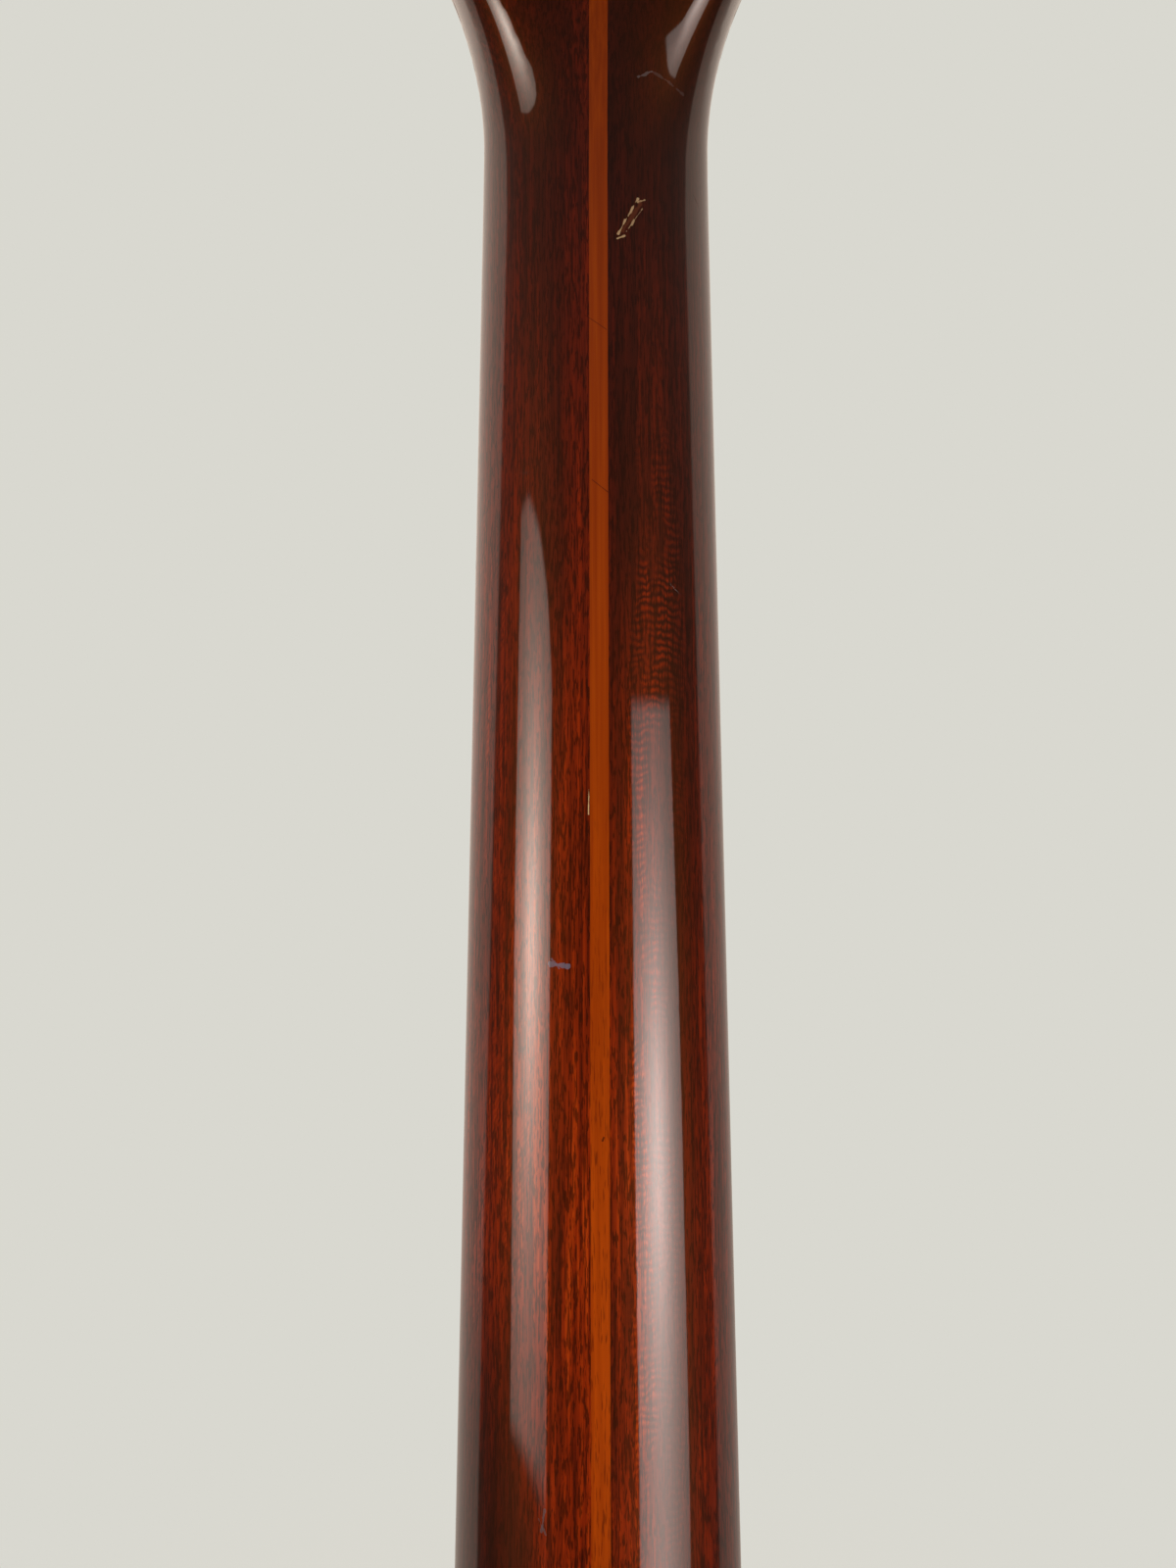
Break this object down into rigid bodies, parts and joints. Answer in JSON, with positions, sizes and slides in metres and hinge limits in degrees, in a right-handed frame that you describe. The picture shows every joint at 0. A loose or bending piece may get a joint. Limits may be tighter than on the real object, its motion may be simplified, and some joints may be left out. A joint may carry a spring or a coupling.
{
  "type": "guitar neck",
  "caption": "Laminated guitar neck with angled headstock, fretted fingerboard, truss rod, bolt-on heel and worm-geared tuners.",
  "frame": {"origin": "middle of the two heel bolts on the joint plane", "axes": "+Z runs along the neck towards the headstock, -Y faces the strings, +Y is the back of the neck, -X is the bass side"},
  "size_m": [0.1118, 0.0641, 0.6103],
  "materials": {
    "mahogany": "gloss",
    "maple": "gloss",
    "rosewood": "satin",
    "black_veneer": "gloss",
    "black_plastic": "gloss",
    "cream_binding": "gloss",
    "cream_plastic": "gloss",
    "pearl": "gloss",
    "black_dot": "satin",
    "bone": "satin",
    "nickel_silver": "polished",
    "nickel_plate": "polished",
    "rod_steel": "satin",
    "brass": "satin"
  },
  "bodies": {
    "neck": {"neck_centre_strip": "maple", "neck_bass_half": "mahogany", "neck_treble_half": "mahogany", "headstock_ear_bass": "mahogany", "headstock_ear_treble": "mahogany", "heel_cap": "cream_binding", "headstock_veneer": "black_veneer", "fingerboard": "rosewood", "position_inlays": "pearl", "fingerboard_binding": "cream_binding", "side_dots": "black_dot", "frets": "nickel_silver", "nut": "bone", "truss_rod": "rod_steel", "truss_rod_anchor": "rod_steel", "truss_rod_washer": "rod_steel", "truss_rod_fillet": "maple", "truss_rod_cover": "black_plastic", "truss_rod_cover_screws": "nickel_plate", "threaded_inserts": "brass", "tuner_bushings": "nickel_plate", "tuner_screws": "nickel_plate", "tuner_1_baseplate": "nickel_plate", "tuner_1_cover": "nickel_plate", "tuner_2_baseplate": "nickel_plate", "tuner_2_cover": "nickel_plate", "tuner_3_baseplate": "nickel_plate", "tuner_3_cover": "nickel_plate", "tuner_4_baseplate": "nickel_plate", "tuner_4_cover": "nickel_plate", "tuner_5_baseplate": "nickel_plate", "tuner_5_cover": "nickel_plate", "tuner_6_baseplate": "nickel_plate", "tuner_6_cover": "nickel_plate"},
    "truss_rod_nut": {"truss_rod_nut": "brass"},
    "tuner_1_key": {"tuner_1_worm_shaft": "nickel_plate", "tuner_1_button": "cream_plastic"},
    "tuner_1_spindle": {"tuner_1_gear": "brass", "tuner_1_post": "nickel_plate"},
    "tuner_2_key": {"tuner_2_worm_shaft": "nickel_plate", "tuner_2_button": "cream_plastic"},
    "tuner_2_spindle": {"tuner_2_gear": "brass", "tuner_2_post": "nickel_plate"},
    "tuner_3_key": {"tuner_3_worm_shaft": "nickel_plate", "tuner_3_button": "cream_plastic"},
    "tuner_3_spindle": {"tuner_3_gear": "brass", "tuner_3_post": "nickel_plate"},
    "tuner_4_key": {"tuner_4_worm_shaft": "nickel_plate", "tuner_4_button": "cream_plastic"},
    "tuner_4_spindle": {"tuner_4_gear": "brass", "tuner_4_post": "nickel_plate"},
    "tuner_5_key": {"tuner_5_worm_shaft": "nickel_plate", "tuner_5_button": "cream_plastic"},
    "tuner_5_spindle": {"tuner_5_gear": "brass", "tuner_5_post": "nickel_plate"},
    "tuner_6_key": {"tuner_6_worm_shaft": "nickel_plate", "tuner_6_button": "cream_plastic"},
    "tuner_6_spindle": {"tuner_6_gear": "brass", "tuner_6_post": "nickel_plate"}
  },
  "joints": [
    {"name": "truss_nut_turn", "type": "hinge", "parent": "neck", "child": "truss_rod_nut", "pos_m": [0, -0.0186, 0.36161], "axis": [0, 0, 1], "range_deg": [-180, 180]},
    {"name": "tuner_1_key_turn", "type": "hinge", "parent": "neck", "child": "tuner_1_key", "pos_m": [-0.0225, 0.00282, 0.39155], "axis": [-1, 0, 0], "continuous": true},
    {"name": "tuner_1_post_turn", "type": "hinge", "parent": "neck", "child": "tuner_1_spindle", "pos_m": [-0.0225, -0.00032, 0.40045], "axis": [0, -0.9703, 0.2419], "continuous": true},
    {"name": "tuner_2_key_turn", "type": "hinge", "parent": "neck", "child": "tuner_2_key", "pos_m": [-0.0225, 0.0125, 0.43036], "axis": [-1, 0, 0], "continuous": true},
    {"name": "tuner_2_post_turn", "type": "hinge", "parent": "neck", "child": "tuner_2_spindle", "pos_m": [-0.0225, 0.00936, 0.43926], "axis": [0, -0.9703, 0.2419], "continuous": true},
    {"name": "tuner_3_key_turn", "type": "hinge", "parent": "neck", "child": "tuner_3_key", "pos_m": [-0.0225, 0.02217, 0.46917], "axis": [-1, 0, 0], "continuous": true},
    {"name": "tuner_3_post_turn", "type": "hinge", "parent": "neck", "child": "tuner_3_spindle", "pos_m": [-0.0225, 0.01903, 0.47807], "axis": [0, -0.9703, 0.2419], "continuous": true},
    {"name": "tuner_4_key_turn", "type": "hinge", "parent": "neck", "child": "tuner_4_key", "pos_m": [0.0225, 0.02217, 0.46917], "axis": [1, 0, 0], "continuous": true},
    {"name": "tuner_4_post_turn", "type": "hinge", "parent": "neck", "child": "tuner_4_spindle", "pos_m": [0.0225, 0.01903, 0.47807], "axis": [0, -0.9703, 0.2419], "continuous": true},
    {"name": "tuner_5_key_turn", "type": "hinge", "parent": "neck", "child": "tuner_5_key", "pos_m": [0.0225, 0.0125, 0.43036], "axis": [1, 0, 0], "continuous": true},
    {"name": "tuner_5_post_turn", "type": "hinge", "parent": "neck", "child": "tuner_5_spindle", "pos_m": [0.0225, 0.00936, 0.43926], "axis": [0, -0.9703, 0.2419], "continuous": true},
    {"name": "tuner_6_key_turn", "type": "hinge", "parent": "neck", "child": "tuner_6_key", "pos_m": [0.0225, 0.00282, 0.39155], "axis": [1, 0, 0], "continuous": true},
    {"name": "tuner_6_post_turn", "type": "hinge", "parent": "neck", "child": "tuner_6_spindle", "pos_m": [0.0225, -0.00032, 0.40045], "axis": [0, -0.9703, 0.2419], "continuous": true}
  ],
  "couplings": [
    {"joint": "tuner_1_key_turn", "follows": "tuner_1_post_turn", "ratio": 15},
    {"joint": "tuner_2_key_turn", "follows": "tuner_2_post_turn", "ratio": 15},
    {"joint": "tuner_3_key_turn", "follows": "tuner_3_post_turn", "ratio": 15},
    {"joint": "tuner_4_key_turn", "follows": "tuner_4_post_turn", "ratio": -15},
    {"joint": "tuner_5_key_turn", "follows": "tuner_5_post_turn", "ratio": -15},
    {"joint": "tuner_6_key_turn", "follows": "tuner_6_post_turn", "ratio": -15}
  ]
}
